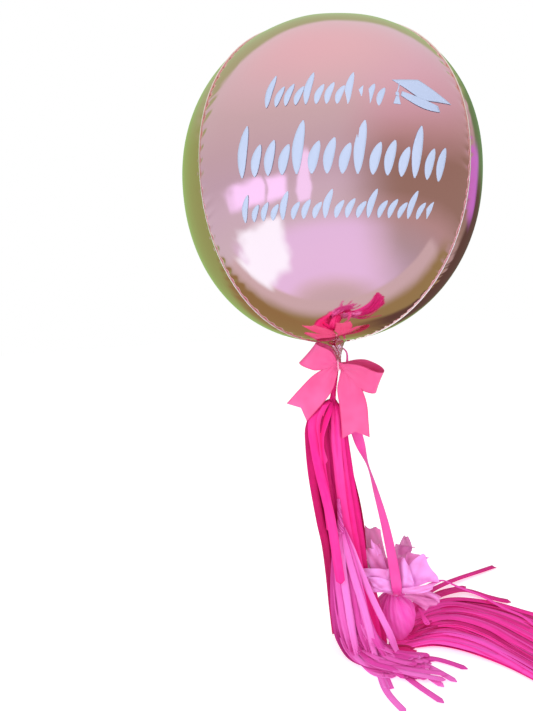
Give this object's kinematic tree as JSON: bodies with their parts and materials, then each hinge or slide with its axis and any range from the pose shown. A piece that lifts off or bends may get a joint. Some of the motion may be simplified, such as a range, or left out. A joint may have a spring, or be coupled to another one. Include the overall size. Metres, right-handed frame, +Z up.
{
  "type": "party balloon",
  "caption": "Round rose-gold foil balloon with a satin bow, hot-pink and lilac tissue tassels that reach the floor, and a wrapped weight on a ribbon tether.",
  "frame": {"origin": "on the floor, straight below the middle of the balloon, on the flat underside of the upper tassel's landed strips", "axes": "+Z up along the standing height, +X to the right as seen from the lettered front, which faces -Y"},
  "size_m": [0.5219, 0.4196, 0.8653],
  "materials": {
    "foil": "mirror-metallised film, rose gold",
    "satin": "satin ribbon",
    "tie_cord": "soft",
    "hot_tissue": "tissue paper",
    "lilac_tissue": "tissue paper",
    "trail_tissue": "tissue paper",
    "tether_satin": "satin ribbon",
    "wrap_tissue": "sand-filled weight wrapped in tissue",
    "frill_tissue": "tissue paper"
  },
  "bodies": {
    "root": {"balloon": "foil", "bow_ribbon": "satin", "bow_tie": "tie_cord", "upper_tassel": "hot_tissue", "lower_tassel": "lilac_tissue", "floor_tassel": "trail_tissue", "tether_ribbon": "tether_satin", "balloon_weight": "wrap_tissue", "weight_frill": "frill_tissue"}
  },
  "joints": []
}
